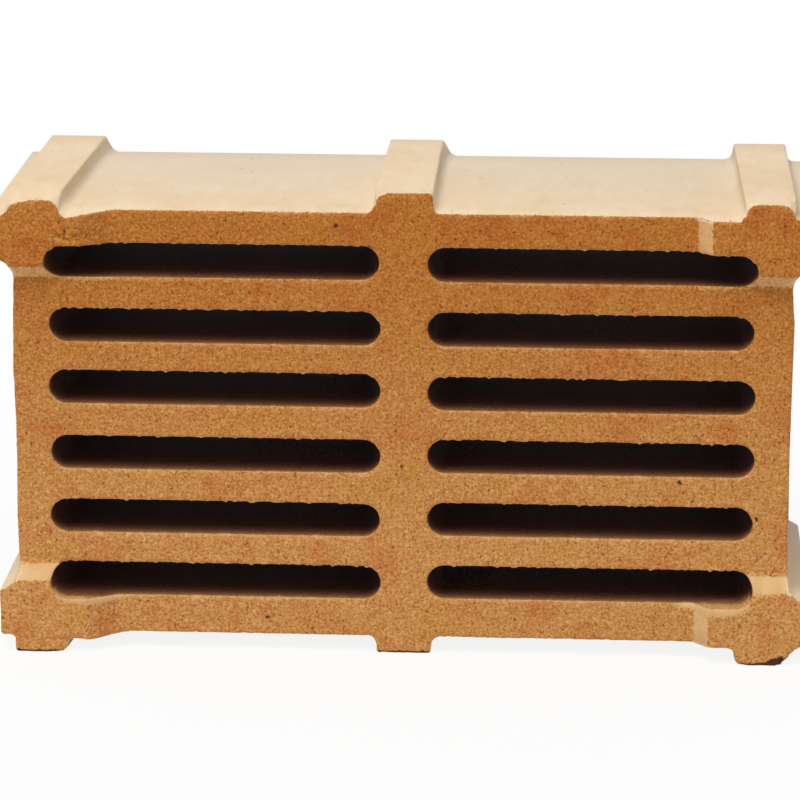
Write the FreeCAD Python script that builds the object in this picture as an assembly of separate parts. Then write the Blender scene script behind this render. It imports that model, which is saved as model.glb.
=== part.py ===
import FreeCAD, Part
import os

from FreeCAD import Vector

# Refractory checker brick with twelve long slots, pressed and fired as one piece.
#
# It stands as it is photographed: on its lower ribs, with the slots lying level and running from
# front to back. X runs across the brick, Y from front to back and Z up. The origin lies on the
# floor, under the middle of the brick's overall box. All sizes are in millimetres.

# The plain block, before its ribs, lugs and bosses
body_width = 350.0
body_height = 200.0
body_depth = 112.0

# The slots fill the block between these walls, in two columns of evenly spaced rows
slot_columns = 2
slot_rows = 6
slot_height = 16.0
side_wall = 15.0
middle_wall = 22.0
upper_wall = 15.5
lower_wall = 18.5

# The ribs on the upper and lower faces: one at the middle and one at each end
rib_height = 8.0
rib_width = 24.0
rib_edge_radius = 1.0
rib_root_radius = 4.0

# The lugs that stand out sideways at the four corners, with an inner face that slopes into the side
lug_reach = 9.0
lug_height = 21.0
lug_slope_drop = 5.0
lug_edge_radius = 1.5
lug_root_radius = 8.0
shoulder_radius = 2.5

# The bosses that stand forward at the four corners, with sloping flanks towards the middle
boss_rise = 8.0
boss_width = 35.5
boss_height = 25.5
boss_flank_run = 7.5
boss_edge_radius = 1.0
boss_foot_radius = 2.0

cut_clearance = 5.0

# Sizes and places that follow from those above; heights are from the middle of the block
slot_length = (body_width - 2 * side_wall - (slot_columns - 1) * middle_wall) / slot_columns
slot_pitch = (body_height - upper_wall - lower_wall - slot_height) / (slot_rows - 1)
side_x = body_width / 2
face_z = body_height / 2
lug_x = side_x + lug_reach
rib_z = face_z + rib_height
crown_y = -(body_depth + boss_rise) / 2
front_y = crown_y + boss_rise
back_y = front_y + body_depth

ACROSS = Vector(1, 0, 0)
UP = Vector(0, 0, 1)
BACKWARD = Vector(0, 1, 0)


def rounded_face(corners):
    """Flat face inside the closed loop of (corner, radius) pairs, each corner rounded by its arc."""
    edges = []
    ends = []
    for i, (corner, radius) in enumerate(corners):
        to_last = (corners[i - 1][0] - corner).normalize()
        to_next = (corners[(i + 1) % len(corners)][0] - corner).normalize()
        cosine = to_last.dot(to_next)
        setback = radius * ((1 + cosine) / (1 - cosine)) ** 0.5
        to_centre = (radius**2 + setback**2) ** 0.5
        inward = (to_last + to_next).normalize()
        start = corner + to_last * setback
        end = corner + to_next * setback
        if radius > 0:
            edges.append(Part.Arc(start, corner + inward * (to_centre - radius), end).toShape())
        ends.append((start, end))
    for i, (start, end) in enumerate(ends):
        last_end = ends[i - 1][1]
        if not last_end.isEqual(start, 1e-6):
            edges.append(Part.LineSegment(last_end, start).toShape())
    return Part.Face(Part.Wire(Part.__sortEdges__(edges)))


def section_face():
    """The brick's cross-section with its ribs, lugs and shoulders, without the slots."""
    quarter = [
        (rib_width / 2, rib_z, rib_edge_radius),
        (rib_width / 2, face_z, rib_root_radius),
        (side_x - rib_width, face_z, rib_root_radius),
        (side_x - rib_width, rib_z, rib_edge_radius),
        (side_x, rib_z, rib_edge_radius),
        (side_x, face_z, shoulder_radius),
        (lug_x, face_z, lug_edge_radius),
        (lug_x, face_z - lug_height, lug_edge_radius),
        (side_x, face_z - lug_height - lug_slope_drop, lug_root_radius),
    ]
    right_half = quarter + [(x, -z, radius) for x, z, radius in reversed(quarter)]
    outline = right_half + [(-x, -z, radius) for x, z, radius in right_half]
    return rounded_face([(Vector(x, 0, z), radius) for x, z, radius in outline])


def front_relief(across, along, crown_reach, outer_reach, half_length):
    """Cutter that trims the front to the crown plane and sinks one wide trough between bosses."""
    foot_reach = crown_reach - boss_flank_run
    half = [
        (foot_reach, front_y, boss_foot_radius),
        (crown_reach, crown_y, boss_edge_radius),
        (outer_reach, crown_y, 0),
        (outer_reach, crown_y - 2 * cut_clearance, 0),
    ]
    loop = half + [(-reach, y, radius) for reach, y, radius in reversed(half)]
    corners = [(across * reach + BACKWARD * y, radius) for reach, y, radius in loop]
    face = rounded_face(corners)
    face.translate(along * -half_length)
    return face.extrude(along * (2 * half_length))


def slot(centre_x, centre_z):
    """Cutter for one slot with half-round ends, running right through from front to back."""
    reach = slot_length / 2
    rise = slot_height / 2
    loop = [(-reach, -rise), (reach, -rise), (reach, rise), (-reach, rise)]
    face = rounded_face([(Vector(centre_x + x, 0, centre_z + z), rise) for x, z in loop])
    face.translate(BACKWARD * (crown_y - cut_clearance))
    return face.extrude(BACKWARD * (back_y - crown_y + 2 * cut_clearance))


# The whole section runs from the crown plane to the back, and two crossing troughs leave the bosses
section = section_face()
section.translate(BACKWARD * (crown_y - cut_clearance))
blank = section.extrude(BACKWARD * (back_y - crown_y + cut_clearance))
upright_trough = front_relief(
    ACROSS, UP, side_x - boss_width, lug_x + cut_clearance, rib_z + cut_clearance
)
level_trough = front_relief(
    UP, ACROSS, face_z - boss_height, rib_z + cut_clearance, lug_x + cut_clearance
)
first_slot_x = side_wall + slot_length / 2 - side_x
first_slot_z = face_z - upper_wall - slot_height / 2
slots = [
    slot(first_slot_x + column * (slot_length + middle_wall), first_slot_z - row * slot_pitch)
    for column in range(slot_columns)
    for row in range(slot_rows)
]
brick = blank.cut([upright_trough, level_trough] + slots)
brick = brick.removeSplitter()
brick.translate(UP * rib_z)

solid = brick.Solids[0]
os.makedirs("parts", exist_ok=True)
solid.exportStep("parts/checker_brick.step")

box = solid.BoundBox
print("solids", len(brick.Solids), "valid", solid.isValid(), "volume in litres", solid.Volume / 1e6)
print("overall", box.XLength, box.YLength, box.ZLength, "from", box.XMin, box.YMin, box.ZMin)
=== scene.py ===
import math

import bmesh
import bpy
import numpy as np
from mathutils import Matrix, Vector, geometry, noise


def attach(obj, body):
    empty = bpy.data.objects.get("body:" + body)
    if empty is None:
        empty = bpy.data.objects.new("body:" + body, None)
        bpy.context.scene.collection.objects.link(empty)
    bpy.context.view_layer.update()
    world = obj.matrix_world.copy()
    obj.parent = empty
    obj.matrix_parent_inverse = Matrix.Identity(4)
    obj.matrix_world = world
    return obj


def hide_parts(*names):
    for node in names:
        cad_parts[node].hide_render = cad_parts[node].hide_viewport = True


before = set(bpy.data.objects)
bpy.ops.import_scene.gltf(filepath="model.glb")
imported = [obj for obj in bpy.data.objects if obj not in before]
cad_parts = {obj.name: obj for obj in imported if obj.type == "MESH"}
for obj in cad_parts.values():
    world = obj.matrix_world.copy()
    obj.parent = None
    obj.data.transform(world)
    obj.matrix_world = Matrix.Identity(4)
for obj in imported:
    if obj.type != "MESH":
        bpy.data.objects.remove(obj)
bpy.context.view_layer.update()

# The body: a block of coarse fireclay grog, pressed in a steel mould with its ribs, feet and corner
# lugs, then fired. The mould's corners are crisp, and the front ends of the ribs are knocked round.
# Sizes here are millimetres: x across, y from front to back, z up from the middle of the block.
body_width = 350.0
body_height = 200.0
body_depth = 112.0
rib_height = 8.0
rib_width = 24.0
lug_reach = 9.0
lug_height = 21.0
lug_slope_drop = 5.0
back_y = 60.0
front_y = back_y - body_depth
side_x = body_width / 2
face_z = body_height / 2
lug_x = side_x + lug_reach
rib_z = face_z + rib_height
whole_reach = np.array([lug_x, rib_z])
corner_steps = 6
run_step = 2.0

# A quarter of the outline: each corner's x and z, its moulded radius, and its radius where the front
# end is worn, on the upper and on the lower half
quarter = [
    (rib_width / 2, rib_z, 1.0, 2.2, 1.4),
    (rib_width / 2, face_z, 2.8, 3.6, 4.8),
    (side_x - rib_width, face_z, 4.4, 3.0, 3.6),
    (side_x - rib_width, rib_z, 1.0, 4.2, 2.0),
    (side_x, rib_z, 1.0, 4.2, 1.8),
    (side_x, face_z, 2.5, 3.0, 2.5),
    (lug_x, face_z, 1.5, 2.5, 2.0),
    (lug_x, face_z - lug_height, 1.5, 2.5, 2.0),
    (side_x, face_z - lug_height - lug_slope_drop, 8.0, 8.0, 8.0),
]
upper_quarter = [(x, z, moulded, worn) for x, z, moulded, worn, foot in quarter]
lower_quarter = [(x, -z, moulded, foot) for x, z, moulded, worn, foot in quarter]
right_half = upper_quarter + lower_quarter[::-1]
left_half = [(-x, z, moulded, worn) for x, z, moulded, worn in right_half[::-1]]
body_corners = right_half + left_half


def rounded_loop(corners, runs):
    """Points clockwise round a loop of (x, z, radius) corners, with runs[i] steps after corner i."""
    places = np.array([corner[:2] for corner in corners])
    arcs = []
    for i, corner in enumerate(corners):
        radius = corner[2]
        to_last = places[i - 1] - places[i]
        to_next = places[(i + 1) % len(corners)] - places[i]
        to_last /= np.linalg.norm(to_last)
        to_next /= np.linalg.norm(to_next)
        cosine = to_last @ to_next
        setback = radius * math.sqrt((1 + cosine) / (1 - cosine))
        middle = (to_last + to_next) / np.linalg.norm(to_last + to_next)
        centre = places[i] + middle * math.hypot(radius, setback)
        first = places[i] + to_last * setback - centre
        last = places[i] + to_next * setback - centre
        start = math.atan2(first[1], first[0])
        sweep = (math.atan2(last[1], last[0]) - start + math.pi) % (2 * math.pi) - math.pi
        turn = start + sweep * np.linspace(0, 1, corner_steps + 1)
        arcs.append(centre + radius * np.stack([np.cos(turn), np.sin(turn)], axis=1))
    points = []
    for i, arc in enumerate(arcs):
        points.append(arc)
        share = np.arange(1, runs[i])[:, None] / runs[i]
        points.append(arc[-1] + (arcs[(i + 1) % len(arcs)][0] - arc[-1]) * share)
    return np.concatenate(points)


def into_clay(loop):
    """Unit vectors that point from each point of a loop into the clay beside it."""
    along = np.roll(loop, -1, axis=0) - np.roll(loop, 1, axis=0)
    along /= np.linalg.norm(along, axis=1)[:, None]
    return np.stack([along[:, 1], -along[:, 0]], axis=1)


def rough(points, size, shift=0.0, octaves=3):
    """Noise from about -1 to 1 at each point, in lumps of that size. Each shift has its own lumps."""
    tall = np.zeros((len(points), 3))
    tall[:, : points.shape[1]] = points / size
    tall[:, 2] += shift
    return np.array([noise.fractal(Vector(p), 1.0, 2.0, octaves) for p in tall])


side_lengths = [
    math.dist(body_corners[i][:2], body_corners[(i + 1) % len(body_corners)][:2])
    for i in range(len(body_corners))
]
body_runs = [max(2, round(length / run_step)) for length in side_lengths]
true_loop = rounded_loop([(x, z, moulded) for x, z, moulded, worn in body_corners], body_runs)
true_worn_loop = rounded_loop([(x, z, worn) for x, z, moulded, worn in body_corners], body_runs)
true_x, true_z = true_loop.T

# The ribs don't run quite true. At these places across, this is how far their sides stand off true
# at the front, at the back, and at the back of their roots alone.
rib_sides = [-184, -175, -151, -138, -26, -12, 12, 26, 138, 151, 175, 184]
rib_lean_front = [0, -1.0, -1.2, 0, 0, -1.1, 1.4, 0, 0, 0.4, -0.8, 0]
rib_lean_back = [1.6, 2.4, 4.2, 0, 0, -0.2, 0.8, 0, 0, -2.2, -2.2, 0]
root_lean_back = [0, 0, 4.2, 0, 0, 0, 4.5, 0, 0, -1.2, 1.0, 0]
foot_lean_front = [0, -2.4, -0.6, 0, 0, 0, 0.7, 0, 0, 0.2, -0.4, 0]
no_lean = [0] * len(rib_sides)
root_reach = 4.0


def leaned(loop, rib_lean, foot_lean):
    """The loop with its ribs and feet moved sideways."""
    x, z = loop.T
    moved = loop.copy()
    moved[:, 0] += np.where(z > face_z - root_reach, np.interp(x, rib_sides, rib_lean), 0)
    moved[:, 0] += np.where(z < root_reach - face_z, np.interp(x, rib_sides, foot_lean), 0)
    return moved


front_loop = leaned(true_loop, rib_lean_front, foot_lean_front)
worn_loop = leaned(true_worn_loop, rib_lean_front, foot_lean_front)
back_loop = leaned(true_loop, rib_lean_back, no_lean)
root_flare = leaned(true_loop, root_lean_back, no_lean) - true_loop
root_flare *= np.clip((rib_z - true_z) / rib_height, 0, 1)[:, None]

# The plates between the ribs swell towards the back, and the upper ones' front edge is broken down
plate_swell = 0.5
plate_break = 1.2
plate_margin = 1.0
on_plate = np.abs(np.abs(true_z) - face_z) < plate_margin
on_plate &= np.abs(true_x) < side_x - rib_width
back_loop[:, 1] += np.where(on_plate, plate_swell, 0) * np.sign(true_z)
worn_loop[:, 1] -= np.where(on_plate & (true_z > 0), plate_break, 0)

# Knocks at the front end: where they are (x, z), how wide, how far they push the edge (x, z), and how
# far back they reach. One foot has lost its inner corner, and one shoulder is filled in.
knocks = [
    (-163.0, 108.0, 22.0, 0.0, -3.6, 7.0),
    (-175.0, 108.0, 9.0, 2.4, -2.4, 8.0),
    (-151.0, 108.0, 9.0, -1.4, -1.6, 8.0),
    (-176.0, 100.5, 7.0, -1.4, 1.2, 14.0),
    (-184.0, 100.0, 9.0, 0.0, -4.5, 24.0),
    (-145.0, 100.0, 14.0, 0.0, -0.9, 7.0),
    (-14.0, 108.0, 7.0, 1.6, -2.0, 8.0),
    (163.0, 108.0, 18.0, 0.0, -1.4, 7.0),
    (151.0, 108.0, 7.0, 1.2, -1.2, 7.0),
    (175.0, 108.0, 8.0, -1.6, -1.6, 7.0),
    (-175.0, 25.0, 42.0, -1.3, 0.0, 60.0),
    (-175.0, -45.0, 42.0, -1.2, 0.0, 60.0),
    (175.0, -10.0, 75.0, -0.9, 0.0, 60.0),
    (175.0, 66.0, 14.0, -1.4, 0.0, 40.0),
    (-151.0, -108.0, 11.0, -3.0, 2.0, 30.0),
    (-145.0, -100.0, 20.0, 0.0, -2.2, 34.0),
    (151.0, -108.0, 6.0, 0.6, 0.5, 10.0),
    (175.0, -108.0, 5.0, -1.6, 0.8, 10.0),
    (176.0, -100.5, 7.0, 2.4, -2.6, 14.0),
    (184.0, -100.0, 13.0, -0.4, 3.6, 30.0),
]
knock_fade = 0.7
wear_run = 5.0
wear_fade = 1.5
flare_from = 80.0


def body_wear(depth):
    """How far the body's edge has left its moulded place, at that depth from the front."""
    push = (worn_loop - front_loop) * max(0.0, 1 - depth / wear_run) ** wear_fade
    push += root_flare * max(0.0, (depth - flare_from) / (body_depth - flare_from)) ** 2
    for x, z, spread, push_x, push_z, run in knocks:
        away = np.hypot(worn_loop[:, 0] - x, worn_loop[:, 1] - z)
        near = np.clip(1 - away / spread, 0, 1) ** knock_fade
        push += near[:, None] * np.array([push_x, push_z]) * max(0.0, 1 - depth / run)
    return push


# The flues: twelve level slots with half-round ends, drawn out by steel cores as the brick was
# pressed. The cores left a thin smooth skin inside, and their rows don't lie quite true.
slot_columns = 2
slot_rows = 6
slot_height = 16.0
side_wall = 15.0
middle_wall = 22.0
upper_wall = 15.5
lower_wall = 18.5
slot_length = (body_width - 2 * side_wall - middle_wall) / slot_columns
slot_pitch = (body_height - upper_wall - lower_wall - slot_height) / (slot_rows - 1)
slot_step = 1.4
slot_end_steps = 16

# For each column, from its upper row down: how far the slot lies high, and how much further than
# its true length it reaches to the left and to the right
slot_drift = [
    [-0.8, -1.1, -0.1, -0.9, -1.1, -0.9],
    [-1.2, -1.0, -0.8, -0.3, -0.1, -0.1],
]
left_stretch = [
    [0.5, -0.4, 0.3, 0.0, 0.9, 0.7],
    [0.0, 0.0, 0.0, 0.0, 0.0, 0.0],
]
right_stretch = [
    [0.4, 1.0, 0.9, 0.8, 0.5, 0.9],
    [-2.0, -3.0, -1.8, -1.5, -1.6, -1.1],
]


def slot_loop(left_x, right_x, centre_z):
    """Points anticlockwise round one slot, whose half-round ends reach to left_x and right_x."""
    radius = slot_height / 2
    half_run = (right_x - left_x) / 2 - radius
    turn = np.linspace(-math.pi / 2, math.pi / 2, slot_end_steps + 1)
    right_end = np.stack([half_run + radius * np.cos(turn), radius * np.sin(turn)], axis=1)
    across = np.linspace(half_run, -half_run, round(2 * half_run / slot_step))[1:-1]
    upper_run = np.stack([across, np.full(len(across), radius)], axis=1)
    half = np.concatenate([right_end, upper_run])
    return np.concatenate([half, -half]) + np.array([(left_x + right_x) / 2, centre_z])


def no_wear(depth):
    """A flue keeps its place from front to back."""
    return 0.0


slot_loops = []
for column in range(slot_columns):
    for row in range(slot_rows):
        left_x = side_wall - side_x + column * (slot_length + middle_wall)
        right_x = left_x + slot_length + right_stretch[column][row]
        centre_z = face_z - upper_wall - slot_height / 2 - row * slot_pitch + slot_drift[column][row]
        slot_loops.append(slot_loop(left_x - left_stretch[column][row], right_x, centre_z))

# The front: pressed coarse and open, with a boss standing out at each corner. The bosses' flanks
# took a smooth skin from the mould, and strips of it are left under the highest and lowest slots.
# The upright flanks on the left are torn and gentler, and the clay over one slot has crumbled.
boss_rise = 8.0
boss_width = 35.5
boss_height = 25.5
boss_flank_run = 7.5
boss_softness = 0.14
torn_flank_run = 13.0
torn_flank_shift = 4.0
torn_softness = 0.25
right_lean = 0.008
right_lean_from = -90.0
crown_y = front_y - boss_rise
crown_reach_x = side_x - boss_width
crown_reach_z = face_z - boss_height
face_step = 1.35
back_step = 4.0
looseness = 0.3
edge_clearance = 0.62
edge_batch = 64

# The grain: how far it sinks the clay, and the sizes of its lumps, slow swells and hollows. Skin
# calms it, and it is far deeper in the crumbled patch.
face_grain = 0.45
lump_size = 3.2
swell_size = 12.0
hollow_size = 4.0
skin_calm = 0.85
crumbled_spot = (-150.0, 89.0)
crumbled_reach = (12.0, 4.5)
crumbled_depth = 2.2
crumbled_size = 2.4

# The skin: how whole it is on the upright flanks and on the level ones, how pale it is there, and
# its strips, with the height and the wholeness of each
flank_border = 9.0
upright_skin = 0.72
upper_skin = 0.6
lower_skin = 0.8
upper_paleness = 0.15
lower_paleness = 0.1
skin_strip_x = 141.0
skin_strip_reach = (23.0, 5.4)
skin_strip_border = 2.2
skin_strips = [(-81.2, 0.85), (69.5, 0.55)]


def ramp_sum(t):
    """Running sum of a ramp that climbs from 0 to 1 as t does, and then stays at 1."""
    return np.where(t < 1, np.clip(t, 0, 1) ** 2 / 2, t - 0.5)


def ramp(reach, crown_reach, flank_run, softness):
    """Rises from 0 to 1 over the flank that ends at crown_reach, with both its ends rounded off."""
    low = (reach - crown_reach) / flank_run + 1 - softness
    high = low + 2 * softness
    return (ramp_sum(high) - ramp_sum(low)) / (2 * softness)


def strips_at(x, z):
    """How whole the strips of skin under the highest and lowest slots are at each place."""
    strip = np.zeros(len(x))
    for strip_z, strength in skin_strips:
        from_middle = np.column_stack([np.abs(x) - skin_strip_x, z - strip_z]) / skin_strip_reach
        away = np.linalg.norm(from_middle, axis=1)
        near = np.clip(skin_strip_border - skin_strip_border * away, 0, 1)
        strip = np.maximum(strip, strength * near)
    return strip


def crumbled_at(points):
    """How far inside the crumbled patch each point (x, z) lies, and the lumps that are left there."""
    away = np.linalg.norm((points - crumbled_spot) / crumbled_reach, axis=1)
    return np.sqrt(np.clip(1 - away, 0, 1)), rough(points, crumbled_size, 55.0)


def front_shape(points):
    """The front's place in y at each point (x, z), how much skin is there, and how pale it is."""
    x, z = points.T
    leaned_x = x + right_lean * (z - right_lean_from)
    right = ramp(leaned_x, crown_reach_x, boss_flank_run, boss_softness)
    left = ramp(-x, crown_reach_x + torn_flank_shift, torn_flank_run, torn_softness)
    upright = np.where(x > 0, right, left)
    level = ramp(np.abs(z), crown_reach_z, boss_flank_run, boss_softness)
    rise = np.minimum(upright, level)
    on_upright = level > upright
    on_flank = np.clip(np.minimum(rise, 1 - rise) * flank_border, 0, 1)
    smooth = np.where(on_upright & (x < 0), 0.0, on_flank)
    whole = np.where(on_upright, upright_skin, np.where(z > 0, upper_skin, lower_skin))
    strip = strips_at(x, z)
    lumps = 0.5 + 0.6 * rough(points, lump_size) + 0.25 * rough(points, swell_size, 7.0)
    hollows = np.clip(rough(points, hollow_size, 31.0, 2) - 0.45, 0, 1) * 3
    calmed = 1 - skin_calm * np.maximum(smooth, strip)
    grain = face_grain * (np.clip(lumps, 0, 1) + hollows) * calmed
    crumbled, crumbled_lumps = crumbled_at(points)
    grain += crumbled_depth * crumbled * np.clip(crumbled_lumps + 0.15, 0, 1)
    paleness = smooth * np.where(z < 0, lower_paleness, upper_paleness)
    return crown_y + boss_rise * (1 - rise) + grain, np.maximum(smooth * whole, strip), paleness


def back_shape(points):
    """The same for the back, which is as coarse as the front, but flat and without skin."""
    lumps = np.clip(0.5 + 0.6 * rough(points, lump_size, 50.0), 0, 1)
    bare = np.zeros(len(points))
    return back_y - face_grain * lumps, bare, bare


def inside(points, loop):
    """Whether each point lies inside the loop."""
    crossings = np.zeros(len(points), int)
    for (x1, z1), (x2, z2) in zip(loop, np.roll(loop, -1, axis=0)):
        if z1 != z2:
            spans = (points[:, 1] > z1) != (points[:, 1] > z2)
            crossings += spans & (points[:, 0] < x1 + (points[:, 1] - z1) / (z2 - z1) * (x2 - x1))
    return crossings % 2 == 1


def spaced(keys, step):
    """Coordinates through every key value, about a step apart."""
    parts = [np.linspace(a, b, max(1, round((b - a) / step)) + 1)[:-1] for a, b in zip(keys, keys[1:])]
    return np.concatenate(parts + [keys[-1:]])


def inner_points(loops, step):
    """Points (x, z) between the first loop and the others, loosely spaced but in line on the flanks."""
    foot_x = crown_reach_x - boss_flank_run
    foot_z = crown_reach_z - boss_flank_run
    keys_x = np.array([-lug_x, -crown_reach_x, foot_x, crown_reach_x, lug_x])
    keys_z = np.array([-rib_z, -crown_reach_z, -foot_z, foot_z, crown_reach_z, rib_z])
    grid_x, grid_z = np.meshgrid(spaced(keys_x, step), spaced(keys_z, step))
    grid = np.stack([grid_x.ravel(), grid_z.ravel()], axis=1)
    on_key = np.stack([np.isin(grid[:, 0], keys_x), np.isin(grid[:, 1], keys_z)], axis=1)
    loose = np.random.default_rng(7).uniform(-looseness, looseness, grid.shape) * step
    grid += np.where(on_key, 0, loose)
    clear = inside(grid, loops[0])
    for loop in loops[1:]:
        low, high = loop.min(axis=0), loop.max(axis=0)
        near = np.all((grid > low) & (grid < high), axis=1)
        near[near] = inside(grid[near], loop)
        clear &= ~near
    edge_points = np.concatenate(loops)
    for start in range(0, len(edge_points), edge_batch):
        some = edge_points[start : start + edge_batch]
        low, high = some.min(axis=0) - step, some.max(axis=0) + step
        beside = np.flatnonzero(clear & np.all((grid > low) & (grid < high), axis=1))
        away = np.linalg.norm(grid[beside, None] - some[None], axis=2).min(axis=1)
        clear[beside[away < edge_clearance * step]] = False
    return grid[clear]


def cap(loops, step):
    """Points (x, z) and triangles that fill the first loop around the others."""
    inner = inner_points(loops, step)
    points = np.concatenate(loops + [inner])
    borders = []
    start = 0
    for loop in loops:
        borders += [(start + i, start + (i + 1) % len(loop)) for i in range(len(loop))]
        start += len(loop)
    found = geometry.delaunay_2d_cdt([Vector(p) for p in points], borders, [], 0, 1e-5)
    found_triangles = found[2]
    origins = found[3]
    source = np.array([origin[0] if origin else -1 for origin in origins])
    triangles = source[np.array(found_triangles)]
    owner = np.repeat(np.arange(len(loops) + 1), [len(loop) for loop in loops] + [len(inner)])
    keep = np.ones(len(triangles), bool)
    for i, loop in enumerate(loops):
        on_loop = np.flatnonzero(np.all(owner[triangles] == i, axis=1))
        centres = points[triangles[on_loop]].mean(axis=1)
        keep[on_loop] = inside(centres, loop) == (i == 0)
    return points, triangles[keep]


# The rims: where front, sides and flues meet, the edge is broken by a fraction of a millimetre,
# with small chips out of it, and crumbs of clay hang from the flues' upper edges.
edge_break = 0.35
edge_round = 0.3
back_drop = 0.4
bend_share = 0.7
chip_size = 6.0
chip_depth = 0.8
chip_gain = 2.2
nick_size = 2.0
body_nick = 1.3
flue_nick = 0.5
crumb_size = 2.2
crumb_reach = 0.8
crumb_run = 3.0
depths = [0.0, 0.7, 1.6, 3.2, 5.5, 9.0, 16.0, 28.0, 44.0, 62.0, 80.0, 96.0]


def rings(front_end, back_end, wear_at, is_flue, shift):
    """Rings of points (x, y, z) that run from the front along one loop of the body to the back."""
    worn = np.clip(front_end + wear_at(0.0), -whole_reach, whole_reach)
    inward = into_clay(worn)
    # The edge is broken no wider than its tightest bend allows
    turning = np.linalg.norm(np.roll(inward, -1, axis=0) - inward, axis=1)
    spacing = np.linalg.norm(np.roll(worn, -1, axis=0) - worn, axis=1)
    widest = bend_share * spacing / np.maximum(turning, 1e-3)
    widest = np.minimum(widest, np.roll(widest, 1))
    chips = np.clip(rough(worn, chip_size, shift) - 0.3, 0, 1) * chip_gain * chip_depth
    nicks = np.clip(rough(worn, nick_size, shift + 5), 0, 1) * (flue_nick if is_flue else body_nick)
    broken = np.minimum(edge_break + chips + nicks, widest)[:, None]
    front = front_shape(worn + inward * broken)[0]
    made = []
    for share in (1.0, edge_round):
        spot = worn + inward * broken * share
        made.append(np.column_stack([spot[:, 0], front + broken[:, 0] * (1 - share), spot[:, 1]]))
    crumbs = np.clip(rough(worn, crumb_size, shift + 11) * 1.6 - 0.1, 0, 1)
    hanging = np.clip(inward[:, 1], 0, 1) * crumbs
    start = front + broken[:, 0]
    end = back_y - 2 * edge_break
    for depth in depths:
        crumb = is_flue * crumb_reach * hanging * max(0.0, 1 - depth / crumb_run)
        spot = front_end + (back_end - front_end) * depth / body_depth
        spot = spot + wear_at(depth) - inward * crumb[:, None]
        spot = np.clip(spot, -whole_reach, whole_reach)
        y = start + (end - start) * depth / body_depth
        made.append(np.column_stack([spot[:, 0], y, spot[:, 1]]))
    # The back's edge is rounded in three steps
    last = np.clip(back_end + wear_at(body_depth), -whole_reach, whole_reach)
    into_back = into_clay(last)
    for share, rest in ((0.0, 1.0), (edge_round, edge_round), (1.0, 0.0)):
        spot = last + into_back * edge_break * share
        y = np.full(len(spot), back_y - back_drop - edge_break * rest)
        if rest == 0:
            y = back_shape(spot)[0]
        made.append(np.column_stack([spot[:, 0], y, spot[:, 1]]))
    return made


walls = [rings(front_loop, back_loop, body_wear, False, 0.0)]
for i, loop in enumerate(slot_loops):
    walls.append(rings(loop, loop, no_wear, True, 20.0 * i + 20))

# The painted shade: a painted contact shadow blackens the lower front edge of the feet, and
# painted shade blackens the knocked corner of the right one. The hollows of the crumbled patch
# and a few small pits on the front are painted dark for the shade in them.
foot_line_z = -106.7
foot_line_fade = 0.7
corner_shade_from = 159.0
corner_shade_slope = 0.4
corner_shade_fade = 0.8
corner_shade_end = 174.5
corner_shade_end_fade = 1.2
corner_shade_strength = 0.85
crumbled_gain = 2.4
crumbled_strength = 0.6
pit_reach = 1.7
pit_strength = 0.8
dark_pits = [
    (-30.0, 93.0),
    (145.0, 84.0),
    (125.0, -24.0),
    (159.5, -41.0),
    (0.0, -19.0),
    (-62.0, -92.0),
]


def painted_shade_at(points):
    """How black each point (x, z) is, from 0 to 1."""
    x, z = points.T
    line = np.clip((foot_line_z - z) / foot_line_fade, 0, 1)
    corner_shade = np.clip((corner_shade_slope * (x - corner_shade_from) - rib_z - z) / corner_shade_fade, 0, 1)
    corner_shade *= np.clip((corner_shade_end - x) / corner_shade_end_fade, 0, 1)
    black = np.maximum(line, corner_shade_strength * corner_shade)
    crumbled, crumbled_lumps = crumbled_at(points)
    dark_hollows = np.clip(crumbled_lumps * crumbled_gain, 0, crumbled_strength)
    black = np.maximum(black, dark_hollows * crumbled)
    for pit_x, pit_z in dark_pits:
        away = np.hypot(x - pit_x, z - pit_z)
        black = np.maximum(black, np.clip(pit_reach - away, 0, pit_strength))
    return black


# The whole brick: the walls round the body and in the twelve flues are closed by the front and the
# back into one skin of clay. Five marks on each point tell the material what is there: moulded skin,
# a pale rim with a painted highlight, painted shade in the flues, the bloom on the outer skin, and
# painted shade and contact shadow on the front.
metre = 1000.0
mark_names = ("skin", "rim", "flue", "bloom", "soot")
ring_count = len(walls[0])
# The first and last rings round off the edges, and have less skin and a pale rim
ring_skin = np.ones(ring_count)
ring_skin[[0, 1, 2, -2, -1]] = 0.0, 0.35, 0.6, 0.6, 0.0
ring_rim = np.zeros(ring_count)
ring_rim[[0, 1, 2, 3, -3, -2]] = 0.5, 1.0, 1.0, 0.5, 0.7, 0.7
flue_skin = 0.45
corner_wear = 0.4
upper_rim_share = 0.6
rim_patch_size = 4.0
# Where a flue's painted shade may start on its floor, and how deep and how fast it darkens inwards
pale_floor_left = -4.0
pale_floor_right = 0.3
quick_shade = 0.55
quick_shade_run = 0.8
slow_shade = 0.45
slow_shade_run = 4.5
flue_end_skip = 0.6
flue_end_fade = 2.0
side_bloom_loss = 0.35
side_bloom_z = 80.0
side_bloom_fade = 16.0
painted_shade_rings = 5


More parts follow.
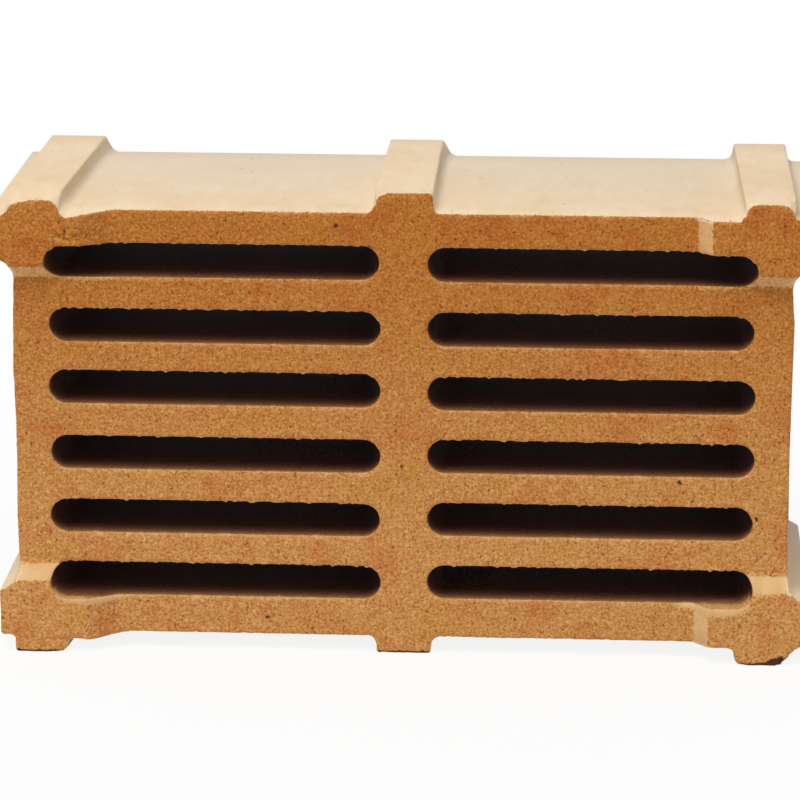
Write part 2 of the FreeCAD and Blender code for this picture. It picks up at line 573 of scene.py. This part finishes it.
def wall_marks(wall, is_flue):
    """The marks on each ring of one wall."""
    edge = wall[0][:, (0, 2)]
    inward = into_clay(edge)
    facing = inward[:, 1]
    # A rim is a pale arris in patches, with a painted highlight that makes it palest where it faces up
    pale_and_highlit = np.where(facing < 0, 1.0, upper_rim_share) * facing**2
    pale_and_highlit = pale_and_highlit * np.clip(rough(edge, rim_patch_size, 77.0) * 2 + 0.6, 0, 1)
    # The skin is worn off the body's sharp corners
    along = np.roll(edge, -1, axis=0) - np.roll(edge, 1, axis=0)
    turning = np.roll(inward, 1, axis=0) - np.roll(inward, -1, axis=0)
    bend = np.sum(turning * along, axis=1) / np.sum(along**2, axis=1)
    sharp = np.clip(1.2 * bend - 0.1, 0, 1)
    # Painted shade darkens a flue from its rim inwards, and on the right its floor only behind the plain
    # front
    rim_y = wall[2][:, 1]
    pale_to = front_y + np.where(edge[:, 0] > 0, pale_floor_right, pale_floor_left)
    shade_from = np.where(facing < -0.5, np.maximum(rim_y, pale_to), rim_y)
    # The skin on the front's flanks and strips runs over the rim, further at a flue than outside
    flank_skin = front_shape(edge)[1]
    flank_rings = 3 if is_flue else 1
    made = []
    for k, ring in enumerate(wall):
        y = ring[:, 1]
        flue = bloom = soot = np.zeros(len(ring))
        if is_flue:
            skin = np.full(len(ring), min(ring_skin[k], flue_skin))
            past = np.clip(y - shade_from, 0, None)
            flue = 1 - quick_shade * np.exp(-past / quick_shade_run)
            flue -= slow_shade * np.exp(-past / slow_shade_run)
            flue *= np.clip((back_y - flue_end_skip - y) / flue_end_fade, 0, 1)
        else:
            skin = ring_skin[k] * (1 - corner_wear * sharp)
            between_lugs = np.clip((side_bloom_z - np.abs(ring[:, 2])) / side_bloom_fade, 0, 1)
            bloom = 1 - side_bloom_loss * between_lugs
            if k < painted_shade_rings:
                soot = painted_shade_at(ring[:, (0, 2)])
        if k < flank_rings:
            skin = np.maximum(skin, flank_skin)
        made.append(np.column_stack([skin, ring_rim[k] * pale_and_highlit * (1 - soot), flue, bloom, soot]))
    return made


points = []
marks = []
faces = []
total = 0
for i, wall in enumerate(walls):
    size = len(wall[0])
    points += wall
    marks += wall_marks(wall, is_flue=i > 0)
    for k in range(ring_count - 1):
        here = total + k * size + np.arange(size)
        on = np.roll(here, -1)
        faces += np.column_stack([here, on, on + size, here + size]).tolist()
    total += size * ring_count

for rank, shape, step in ((0, front_shape, face_step), (ring_count - 1, back_shape, back_step)):
    loops = [wall[rank][:, (0, 2)] for wall in walls]
    flat, triangles = cap(loops, step)
    index = []
    start = 0
    for loop in loops:
        index += range(start + rank * len(loop), start + (rank + 1) * len(loop))
        start += len(loop) * ring_count
    inner = flat[len(index) :]
    y, skin, paleness = shape(inner)
    soot = painted_shade_at(inner) * (rank == 0)
    points.append(np.column_stack([inner[:, 0], y, inner[:, 1]]))
    marks.append(np.column_stack([skin, np.zeros((len(inner), 2)), paleness, soot]))
    index += range(total, total + len(inner))
    faces += np.array(index)[triangles].tolist()
    total += len(inner)

places = np.concatenate(points)
places[:, 2] += rib_z
mesh = bpy.data.meshes.new("checker_brick_body")
mesh.from_pydata((places / metre).tolist(), [], faces)
for name, values in zip(mark_names, np.concatenate(marks).T):
    mark = mesh.attributes.new(name, "FLOAT", "POINT")
    mark.data.foreach_set("value", values.astype(np.float32))
shaper = bmesh.new()
shaper.from_mesh(mesh)
bmesh.ops.recalc_face_normals(shaper, faces=shaper.faces)
shaper.to_mesh(mesh)
shaper.free()
mesh.shade_smooth()
mesh.set_sharp_from_angle(angle=math.radians(50))


def placed(name, data):
    """A new object of that name and data in the scene."""
    thing = bpy.data.objects.new(name, data)
    bpy.context.scene.collection.objects.link(thing)
    return thing


brick = placed("checker_brick_body", mesh)
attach(brick, "root")
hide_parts("checker_brick")


# The fireclay: fired between buff and orange, matt all over. The pressed front is open and coarse,
# with grog grains of one to three millimetres, and the moulded skin is a fine paler bloom.
def linear(hex_colour):
    """An sRGB hex colour as linear RGBA."""
    levels = [int(hex_colour[i : i + 2], 16) / 255 for i in (1, 3, 5)]
    return tuple(c / 12.92 if c <= 0.04045 else ((c + 0.055) / 1.055) ** 2.4 for c in levels) + (1.0,)


def empty_tree(owner):
    """The node tree of a material or world, emptied."""
    owner.use_nodes = True
    owner.node_tree.nodes.clear()
    return owner.node_tree


def add(tree, kind, inputs=None, stops=(), **settings):
    """A node with its settings, inputs (value, node, or node and output) and a ramp's stops."""
    node = tree.nodes.new(kind)
    for name, value in settings.items():
        setattr(node, name, value)
    for i, (place, colour) in enumerate(stops):
        ramp_stops = node.color_ramp.elements
        stop = ramp_stops[i] if i < len(ramp_stops) else ramp_stops.new(place)
        stop.position = place
        stop.color = linear(colour)
    for name, value in (inputs or {}).items():
        if isinstance(value, bpy.types.Node):
            tree.links.new(next(s for s in value.outputs if s.enabled), node.inputs[name])
        elif isinstance(value, tuple) and isinstance(value[0], bpy.types.Node):
            tree.links.new(value[0].outputs[value[1]], node.inputs[name])
        else:
            node.inputs[name].default_value = value
    return node


# The clay's coordinates are metres, so a pattern of some millimetres has the scale metre / size
clay = bpy.data.materials.new("fired_fireclay")
tree = empty_tree(clay)
position = (add(tree, "ShaderNodeTexCoord"), "Object")
skin_mark, rim_mark, flue_shade_mark, bloom_mark, painted_shade_mark = [
    (add(tree, "ShaderNodeAttribute", attribute_name=name), "Fac") for name in mark_names
]

# The matrix is fine clay, whose grit of about 0.3 mm is too fine to show and is drawn at 1.2 mm.
# Grog grains 2.6 mm and 1.2 mm apart lie in it, each of its own shade and with a ragged outline.
wobble = add(tree, "ShaderNodeTexNoise", {"Vector": position, "Scale": metre / 1.8, "Detail": 2.0})
bent = add(
    tree, "ShaderNodeMix", {"Factor": 0.0011, "A": position, "B": (wobble, "Color")},
    data_type="VECTOR",
)
grit = add(
    tree, "ShaderNodeTexNoise",
    {"Vector": position, "Scale": metre / 1.2, "Detail": 3.0, "Roughness": 0.65},
)
matrix_colour = add(
    tree, "ShaderNodeValToRGB", {"Fac": grit},
    stops=[(0.3, "#A05F26"), (0.5, "#CA9250"), (0.7, "#E4B680")],
)
coarse = add(tree, "ShaderNodeTexVoronoi", {"Vector": bent, "Scale": metre / 2.6})
coarse_shade = add(tree, "ShaderNodeSeparateColor", {"Color": (coarse, "Color")})
coarse_grain = add(
    tree, "ShaderNodeMapRange",
    {"Value": (coarse, "Distance"), "From Min": 0.5, "From Max": 0.2, "To Max": 0.6},
)
coarse_colour = add(
    tree, "ShaderNodeValToRGB", {"Fac": (coarse_shade, "Red")},
    stops=[(0.0, "#B3713A"), (0.3, "#C68A49"), (0.6, "#D29B5C"), (0.9, "#DCAC72"), (1.0, "#E4BB84")],
)
fine = add(tree, "ShaderNodeTexVoronoi", {"Vector": bent, "Scale": metre / 1.2})
fine_shade = add(tree, "ShaderNodeSeparateColor", {"Color": (fine, "Color")})
fine_grain = add(
    tree, "ShaderNodeMapRange",
    {"Value": (fine, "Distance"), "From Min": 0.5, "From Max": 0.2, "To Max": 0.65},
)
fine_colour = add(
    tree, "ShaderNodeValToRGB", {"Fac": (fine_shade, "Green")},
    stops=[(0.0, "#925320"), (0.35, "#C08444"), (0.65, "#D59E61"), (1.0, "#EAC490")],
)
with_fine = add(
    tree, "ShaderNodeMix", {"Factor": fine_grain, "A": matrix_colour, "B": fine_colour},
    data_type="RGBA",
)
with_coarse = add(
    tree, "ShaderNodeMix", {"Factor": coarse_grain, "A": with_fine, "B": coarse_colour},
    data_type="RGBA",
)

# Drifts of 20 mm between redder and yellower, and pits of about 1 mm where a grain has dropped out
drift = add(
    tree, "ShaderNodeTexNoise",
    {"Vector": position, "Scale": metre / 20, "Detail": 5.0, "Roughness": 0.68},
)
drift_colour = add(
    tree, "ShaderNodeValToRGB", {"Fac": drift},
    stops=[(0.35, "#F0B797"), (0.5, "#FFFAF0"), (0.65, "#F6EAB4")],
)
drifted = add(
    tree, "ShaderNodeMix", {"Factor": 0.5, "A": with_coarse, "B": drift_colour},
    data_type="RGBA", blend_type="MULTIPLY",
)
hollows = add(tree, "ShaderNodeTexNoise", {"Vector": position, "Scale": metre / 2.0, "Detail": 1.0})
pit = add(
    tree, "ShaderNodeMapRange",
    {"Value": hollows, "From Min": 0.66, "From Max": 0.75, "To Max": 0.75},
)
pitted = add(
    tree, "ShaderNodeMix", {"Factor": pit, "A": drifted, "B": linear("#83491C")}, data_type="RGBA"
)

# The moulded skin is golden on the front and paler outside, with faint marks drawn from front to back
drawn = add(tree, "ShaderNodeMapping", {"Vector": position, "Scale": (1.0, 0.4, 1.0)})
drag = add(
    tree, "ShaderNodeTexNoise", {"Vector": drawn, "Scale": metre / 7, "Detail": 4.0, "Roughness": 0.6}
)
cloud = add(tree, "ShaderNodeTexNoise", {"Vector": position, "Scale": metre / 45, "Detail": 3.0})
skin_shade = add(tree, "ShaderNodeMix", {"Factor": 0.5, "A": drag, "B": cloud})
gold_colour = add(
    tree, "ShaderNodeValToRGB", {"Fac": skin_shade},
    stops=[(0.3, "#C89A62"), (0.5, "#D5AB74"), (0.7, "#DEB986")],
)
bloom_colour = add(
    tree, "ShaderNodeValToRGB", {"Fac": skin_shade},
    stops=[(0.3, "#DDC29E"), (0.5, "#E4CDAC"), (0.7, "#EAD8BA")],
)

# The bloom is greyer towards the back, and far less so on the rib tops
axes = add(tree, "ShaderNodeSeparateXYZ", {"Vector": position})
grey_back = add(
    tree, "ShaderNodeMapRange",
    {"Value": (axes, "Y"), "From Min": -0.05, "From Max": 0.06, "To Max": 0.85},
)
grey_below_rib_tops = add(
    tree, "ShaderNodeMapRange",
    {"Value": (axes, "Z"), "From Min": 0.209, "From Max": 0.213, "To Min": 1.0, "To Max": 0.2},
)
greying = add(tree, "ShaderNodeMath", {0: grey_back, 1: grey_below_rib_tops}, operation="MULTIPLY")
greyed_bloom = add(
    tree, "ShaderNodeMix", {"Factor": greying, "A": bloom_colour, "B": linear("#D9CDBA")},
    data_type="RGBA",
)

# The skin's border with the open face is ragged, where grains broke through it, and thinly spread
# pinholes and specks of 1 to 2 mm show through
ragged = add(tree, "ShaderNodeMath", {0: grit, 1: -0.5}, operation="ADD")
ragged_skin = add(tree, "ShaderNodeMath", {0: ragged, 1: 1.2, 2: skin_mark}, operation="MULTIPLY_ADD")
skinned = add(tree, "ShaderNodeMapRange", {"Value": ragged_skin, "From Min": 0.3, "From Max": 0.65})
speckle = add(tree, "ShaderNodeTexNoise", {"Vector": position, "Scale": metre / 2.6, "Detail": 1.0})
pinhole = add(
    tree, "ShaderNodeMapRange",
    {"Value": speckle, "From Min": 0.7, "From Max": 0.78, "To Max": 0.55},
)
unpierced = add(tree, "ShaderNodeMath", {0: 1.0, 1: pinhole}, operation="SUBTRACT")
skin_share = add(tree, "ShaderNodeMath", {0: skinned, 1: unpierced}, operation="MULTIPLY")
covered = add(
    tree, "ShaderNodeMix", {"Factor": skin_share, "A": pitted, "B": gold_colour}, data_type="RGBA"
)

# Browner and redder from the middle of the brick upwards, on the open face more than on the skin
upper_darkening = add(tree, "ShaderNodeMapRange", {"Value": (axes, "Z"), "From Min": 0.06, "From Max": 0.185})
upper_tint = add(
    tree, "ShaderNodeMix", {"Factor": skinned, "A": linear("#E5CD9E"), "B": linear("#FFF2E6")},
    data_type="RGBA",
)
upper_darkened = add(
    tree, "ShaderNodeMix", {"Factor": upper_darkening, "A": covered, "B": upper_tint},
    data_type="RGBA", blend_type="MULTIPLY",
)

# Over it lie the pale bloom of the outer skin, the pale rims with their painted highlight, the
# painted shade in the flues, and the painted shade and contact shadow on the front
bloom_share = add(tree, "ShaderNodeMath", {0: bloom_mark, 1: skin_share}, operation="MULTIPLY")
bloomed = add(
    tree, "ShaderNodeMix", {"Factor": bloom_share, "A": upper_darkened, "B": greyed_bloom}, data_type="RGBA"
)
# The rims' pale arris, with a painted highlight where a rim faces up
rim_share = add(tree, "ShaderNodeMath", {0: rim_mark, 1: 0.3}, operation="MULTIPLY")
rimmed = add(
    tree, "ShaderNodeMix", {"Factor": rim_share, "A": bloomed, "B": linear("#E6C294")},
    data_type="RGBA",
)
# Painted shade: the flues darken to this brown from their rims inwards
flue_shaded = add(
    tree, "ShaderNodeMix", {"Factor": flue_shade_mark, "A": rimmed, "B": linear("#4A1A07")},
    data_type="RGBA",
)
# The painted shade and contact shadow: near black where its mark lies, with a ragged edge
ragged_painted_shade = add(tree, "ShaderNodeMath", {0: ragged, 1: 1.0, 2: painted_shade_mark}, operation="MULTIPLY_ADD")
painted_shade_share = add(
    tree, "ShaderNodeMapRange",
    {"Value": ragged_painted_shade, "From Min": 0.35, "From Max": 0.65, "To Max": 0.92},
)
with_painted_shade = add(
    tree, "ShaderNodeMix", {"Factor": painted_shade_share, "A": flue_shaded, "B": linear("#2E1710")},
    data_type="RGBA",
)

# Relief of 0.6 mm: grains and pits on the open face, and only a fine tooth on the skin
grain_lift = add(tree, "ShaderNodeMath", {0: coarse_grain, 1: 0.35, 2: grit}, operation="MULTIPLY_ADD")
grain_height = add(tree, "ShaderNodeMath", {0: grain_lift, 1: pit}, operation="SUBTRACT")
skin_tooth = add(tree, "ShaderNodeMath", {0: drag, 1: 0.3}, operation="MULTIPLY")
fine_tooth = add(tree, "ShaderNodeMath", {0: grit, 1: 0.14, 2: skin_tooth}, operation="MULTIPLY_ADD")
skin_height = add(tree, "ShaderNodeMath", {0: pinhole, 1: -0.8, 2: fine_tooth}, operation="MULTIPLY_ADD")
relief = add(tree, "ShaderNodeMix", {"Factor": skinned, "A": grain_height, "B": skin_height})
bump = add(tree, "ShaderNodeBump", {"Height": relief, "Strength": 0.7, "Distance": 0.0006})
matt = add(tree, "ShaderNodeMapRange", {"Value": skinned, "To Min": 0.92, "To Max": 0.78})
surface = add(
    tree, "ShaderNodeBsdfPrincipled",
    {"Base Color": with_painted_shade, "Roughness": matt, "Normal": bump, "IOR": 1.5, "Specular IOR Level": 0.25},
)
add(tree, "ShaderNodeOutputMaterial", {"Surface": surface})
mesh.materials.append(clay)


# The studio: a plain white floor that runs out of view, white all round, and one big soft lamp
# high up on the left. The floor's white is its own for the camera, and the brick's shadow stays.
floor_half = 6.0
shadow_share = 0.13
shadow_near = 0.2
shadow_far = 0.55
floor_mesh = bpy.data.meshes.new("studio_floor")
floor_builder = bmesh.new()
bmesh.ops.create_grid(floor_builder, x_segments=4, y_segments=4, size=floor_half)
floor_builder.to_mesh(floor_mesh)
floor_builder.free()
floor = placed("studio_floor", floor_mesh)

paper = bpy.data.materials.new("white_studio_paper")
tree = empty_tree(paper)
matt_paper = add(tree, "ShaderNodeBsdfDiffuse", {"Color": linear("#F0F0F0")})
white = add(tree, "ShaderNodeEmission", {"Color": linear("#FFFFFF"), "Strength": 1.0})
rays = add(tree, "ShaderNodeLightPath")
floor_position = (add(tree, "ShaderNodeTexCoord"), "Object")
away = add(tree, "ShaderNodeVectorMath", {0: floor_position}, operation="LENGTH")
whiteness = add(
    tree, "ShaderNodeMapRange",
    {"Value": (away, "Value"), "From Min": shadow_near, "From Max": shadow_far,
     "To Min": 1 - shadow_share},
)
seen = add(tree, "ShaderNodeMath", {0: (rays, "Is Camera Ray"), 1: whiteness}, operation="MULTIPLY")
floor_mix = add(tree, "ShaderNodeMixShader", {"Fac": seen, 1: matt_paper, 2: white})
add(tree, "ShaderNodeOutputMaterial", {"Surface": floor_mix})
floor_mesh.materials.append(paper)

# The world is white to the camera and in reflections, and lights the brick with a faint cool fill
world = bpy.data.worlds.new("white_studio")
bpy.context.scene.world = world
tree = empty_tree(world)
world_rays = add(tree, "ShaderNodeLightPath")
fill_light = add(tree, "ShaderNodeBackground", {"Color": linear("#FAFAFF"), "Strength": 0.42})
backdrop = add(tree, "ShaderNodeBackground", {"Color": linear("#FFFFFF"), "Strength": 1.0})
shows_white = add(
    tree, "ShaderNodeMath", {0: (world_rays, "Is Camera Ray"), 1: (world_rays, "Is Glossy Ray")},
    operation="MAXIMUM",
)
world_mix = add(tree, "ShaderNodeMixShader", {"Fac": shows_white, 1: fill_light, 2: backdrop})
add(tree, "ShaderNodeOutputWorld", {"Surface": world_mix})

aim = Vector((0.0, 0.0, 0.12))
softbox_side = 1.5
softbox_away = 2.6
softbox = placed("softbox", bpy.data.lights.new("softbox", "AREA"))
softbox.data.shape = "RECTANGLE"
softbox.data.size = softbox_side
softbox.data.size_y = softbox_side
softbox.data.energy = 52.5
softbox.data.color = linear("#FFFAF2")[:3]
softbox.location = aim + softbox_away * Vector((-0.17, -0.45, 0.87)).normalized()
softbox.rotation_euler = (aim - softbox.location).to_track_quat("-Z", "Y").to_euler()

# The camera: a long lens 1.8 m away, a little to the right and looking down 16 degrees
camera = placed("camera", bpy.data.cameras.new("camera"))
camera.data.sensor_width = 36.0
camera.data.lens = 180.0
camera.data.clip_end = 50.0
camera.location = (0.0983, -1.7785, 0.6198)
camera.rotation_euler = (math.radians(73.9), 0.0, math.radians(3.3))
bpy.context.scene.camera = camera
bpy.context.scene.view_settings.view_transform = "Standard"
